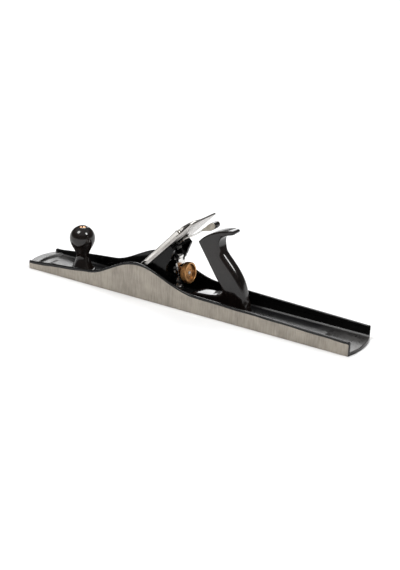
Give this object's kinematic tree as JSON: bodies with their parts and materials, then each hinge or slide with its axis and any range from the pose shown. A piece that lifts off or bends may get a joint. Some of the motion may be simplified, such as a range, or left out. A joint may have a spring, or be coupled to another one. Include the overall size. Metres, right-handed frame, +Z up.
{
  "type": "hand plane",
  "caption": "Long cast-iron jointer bench plane with a 45 degree frog, screw depth adjuster, lateral lever, cam lever cap, round front knob and rear tote.",
  "frame": {"origin": "centre of the sole, on the sole's plane", "axes": "+X towards the heel along the sole, +Y towards the plane's right side, +Z up from the sole"},
  "size_m": [0.5589, 0.07, 0.1325],
  "materials": {
    "bed_iron": "black enamel over cast iron, sides and sole ground bright",
    "frog_enamel": "glossy black enamel",
    "tool_steel": "ground and lightly polished",
    "cap_chrome": "polished nickel-chrome plate",
    "screw_steel": "turned, bright",
    "yoke_steel": "pressed, bright plated",
    "spring_bronze": "rolled spring strip",
    "brass": "turned and knurled, slightly tarnished",
    "handle_black": "polished black moulding"
  },
  "bodies": {
    "bed": {"body": "bed_iron", "frog_screws": "screw_steel", "frog_washers": "screw_steel", "knob": "handle_black", "knob_bolt": "screw_steel", "knob_nut": "brass", "tote": "handle_black", "tote_bolt": "screw_steel", "tote_nut": "brass", "tote_toe_screw": "screw_steel"},
    "frog_body": {"frog": "frog_enamel", "frog_clip": "screw_steel", "frog_clip_screw": "screw_steel", "yoke_pin": "screw_steel", "depth_stud": "screw_steel", "lever_cap_screw": "screw_steel", "lateral_rivet": "screw_steel"},
    "frog_screw": {"frog_adjusting_screw": "screw_steel"},
    "yoke_lever": {"yoke": "yoke_steel"},
    "collar": {"depth_collar": "brass"},
    "wheel": {"depth_wheel": "brass"},
    "lateral": {"lateral_lever": "yoke_steel", "lateral_disc": "screw_steel"},
    "blade_carrier": {"cap_iron_screw": "screw_steel"},
    "blade": {"iron": "tool_steel", "cap_iron": "tool_steel"},
    "cap_group": {"lever_cap": "cap_chrome", "lever_cap_spring": "spring_bronze", "spring_rivet": "screw_steel", "cam_pin": "screw_steel"},
    "cam": {"lever_cap_cam": "cap_chrome"}
  },
  "joints": [
    {"name": "frog_travel", "type": "slide", "parent": "bed", "child": "frog_body", "axis": [-1, 0, 0], "range_m": [-0.0015, 0.0015]},
    {"name": "frog_screw_turn", "type": "hinge", "parent": "frog_body", "child": "frog_screw", "pos_m": [-0.012, 0, 0.018], "axis": [-1, 0, 0], "range_deg": [-545, 545]},
    {"name": "collar_travel", "type": "slide", "parent": "frog_body", "child": "collar", "axis": [0.9903, 0, 0.1392], "range_m": [-0.0024, 0.0024]},
    {"name": "depth_wheel_turn", "type": "hinge", "parent": "collar", "child": "wheel", "pos_m": [0.0055, 0, 0.0445], "axis": [-0.9903, 0, -0.1392], "range_deg": [-800, 800]},
    {"name": "yoke_tilt", "type": "hinge", "parent": "frog_body", "child": "yoke_lever", "pos_m": [-0.01501, 0, 0.06576], "axis": [0, -1, 0], "range_deg": [-5.7, 5.7]},
    {"name": "iron_feed", "type": "slide", "parent": "frog_body", "child": "blade_carrier", "axis": [-0.7071, 0, -0.7071], "range_m": [-0.0019, 0.0019]},
    {"name": "iron_skew", "type": "hinge", "parent": "blade_carrier", "child": "blade", "pos_m": [-0.07158, 0, 0.03182], "axis": [-0.7071, 0, 0.7071], "range_deg": [-1.1, 1.1]},
    {"name": "lateral_lever_swing", "type": "hinge", "parent": "frog_body", "child": "lateral", "pos_m": [-0.01996, 0, 0.08344], "axis": [-0.7071, 0, 0.7071], "range_deg": [-6, 6]},
    {"name": "lever_cap_slide", "type": "slide", "parent": "frog_body", "child": "cap_group", "axis": [0.7071, 0, 0.7071], "range_m": [0, 0.013]},
    {"name": "cam_swing", "type": "hinge", "parent": "cap_group", "child": "cam", "pos_m": [-0.01091, 0, 0.1055], "axis": [0, -1, 0], "range_deg": [0, 90]}
  ],
  "couplings": [
    {"joint": "frog_screw_turn", "follows": "frog_travel", "rad_per_m": 6283.2},
    {"joint": "collar_travel", "follows": "iron_feed", "ratio": 1.2325},
    {"joint": "yoke_tilt", "follows": "iron_feed", "rad_per_m": 51.282},
    {"joint": "depth_wheel_turn", "follows": "iron_feed", "rad_per_m": 7319.6},
    {"joint": "iron_skew", "follows": "lateral_lever_swing", "ratio": -0.15873}
  ]
}
